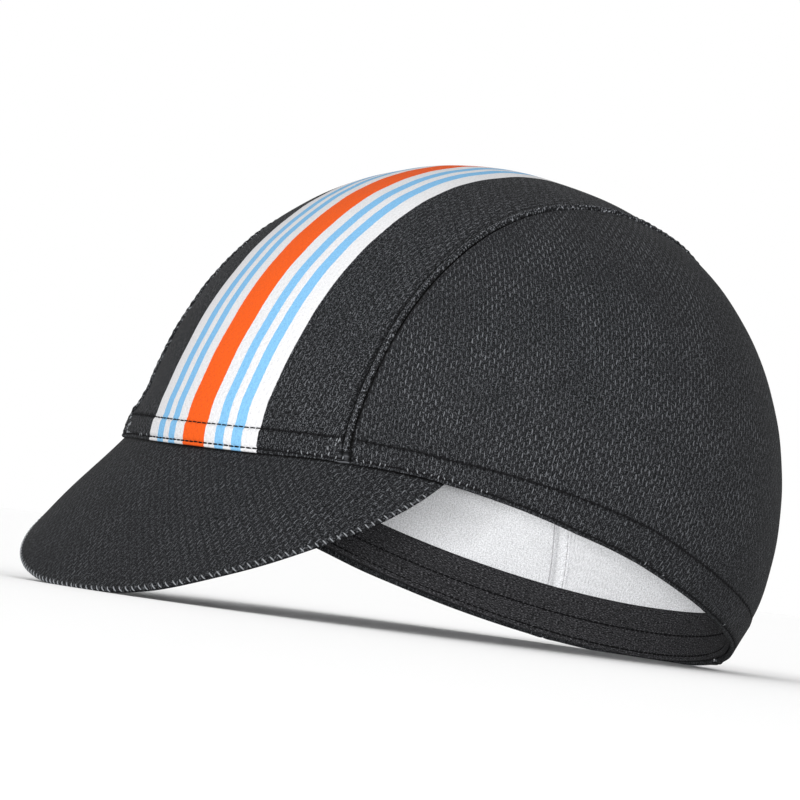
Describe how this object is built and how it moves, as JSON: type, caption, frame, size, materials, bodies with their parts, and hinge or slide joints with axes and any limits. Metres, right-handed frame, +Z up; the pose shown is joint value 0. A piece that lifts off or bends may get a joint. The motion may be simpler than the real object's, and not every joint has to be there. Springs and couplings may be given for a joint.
{
  "type": "cycling cap",
  "caption": "Soft cycling cap with a rounded cloth crown in panels, a turned-up hem, an inner stretch band and a short downturned peak, resting on its peak and the back of its rim.",
  "frame": {"origin": "on the resting surface, under the middle of the cap's box", "axes": "+Z up, the peak points along -Y, +X is the wearer's left"},
  "size_m": [0.1868, 0.2292, 0.1382],
  "materials": {
    "crown_cloth": "matte printed polyester mesh knit",
    "peak_cloth": "matte printed polyester mesh knit over a stiff core",
    "stretch_band": "fine ribbed elastic knit",
    "stripe_print": "printed stripes on knit",
    "thread": "spun polyester thread"
  },
  "bodies": {
    "root": {"centre_panel": "crown_cloth", "left_side_panel": "crown_cloth", "right_side_panel": "crown_cloth", "peak": "peak_cloth", "sweatband": "stretch_band"}
  },
  "joints": []
}
